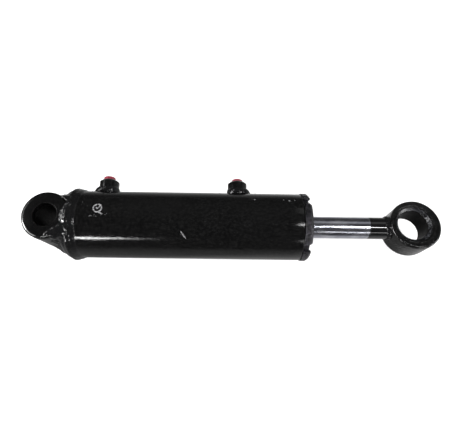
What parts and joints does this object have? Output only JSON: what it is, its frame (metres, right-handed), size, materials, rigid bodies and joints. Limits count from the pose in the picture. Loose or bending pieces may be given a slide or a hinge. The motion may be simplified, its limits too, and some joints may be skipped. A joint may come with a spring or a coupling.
{
  "type": "hydraulic cylinder",
  "caption": "Double-acting welded hydraulic cylinder with a base cross tube, a sliding and turning rod with an eye, a slotted gland nut and two plugged oil ports.",
  "frame": {"origin": "centre of the base cross tube's bore, where the base pin goes", "axes": "+X along the cylinder from the base pin to the rod eye, +Z along the base pin, +Y the way the oil ports look"},
  "size_m": [0.4574, 0.0977, 0.0808],
  "materials": {
    "gloss_black_paint": "glossy black paint with slight orange peel",
    "painted_weld": "rippled weld bead under the same black paint",
    "red_plug_plastic": "soft red polyethylene",
    "gland_metal": "rough violet-grey phosphated metal with thin paint",
    "bearing_resin": "woven phenolic resin",
    "seal_polyurethane": "blue polyurethane",
    "seal_rubber": "black nitrile rubber",
    "chromed_rod": "ground and hard-chromed, black overspray at the eye",
    "cast_iron_piston": "turned ductile iron",
    "bare_steel": "turned steel"
  },
  "bodies": {
    "barrel": {"barrel_tube": "gloss_black_paint", "base_end_cap": "gloss_black_paint", "base_cap_weld": "painted_weld", "base_cross_tube": "gloss_black_paint", "cross_tube_weld_port_side": "painted_weld", "cross_tube_weld_far_side": "painted_weld", "base_port_boss": "gloss_black_paint", "base_port_weld": "painted_weld", "base_port_plug": "red_plug_plastic", "rod_port_boss": "gloss_black_paint", "rod_port_weld": "painted_weld", "rod_port_plug": "red_plug_plastic", "gland_nut": "gland_metal", "gland_wear_ring": "bearing_resin", "rod_seal": "seal_polyurethane", "rod_wiper": "seal_rubber", "gland_o_ring": "seal_rubber", "gland_backup_ring": "seal_polyurethane"},
    "piston_seals": {"piston_wear_ring_rear": "bearing_resin", "piston_seal": "seal_polyurethane", "piston_seal_expander": "seal_rubber", "piston_wear_ring_front": "bearing_resin"},
    "rod": {"piston_rod": "chromed_rod", "piston": "cast_iron_piston", "piston_o_ring": "seal_rubber", "piston_lock_nut": "bare_steel", "rod_eye": "gloss_black_paint", "rod_eye_bushing": "gloss_black_paint", "rod_eye_weld": "painted_weld"}
  },
  "joints": [
    {"name": "rod_slide", "type": "slide", "parent": "barrel", "child": "piston_seals", "axis": [1, 0, 0], "range_m": [-0.05, 0.05]},
    {"name": "rod_turn", "type": "hinge", "parent": "piston_seals", "child": "rod", "pos_m": [0.12, 0, 0], "axis": [1, 0, 0], "continuous": true}
  ]
}
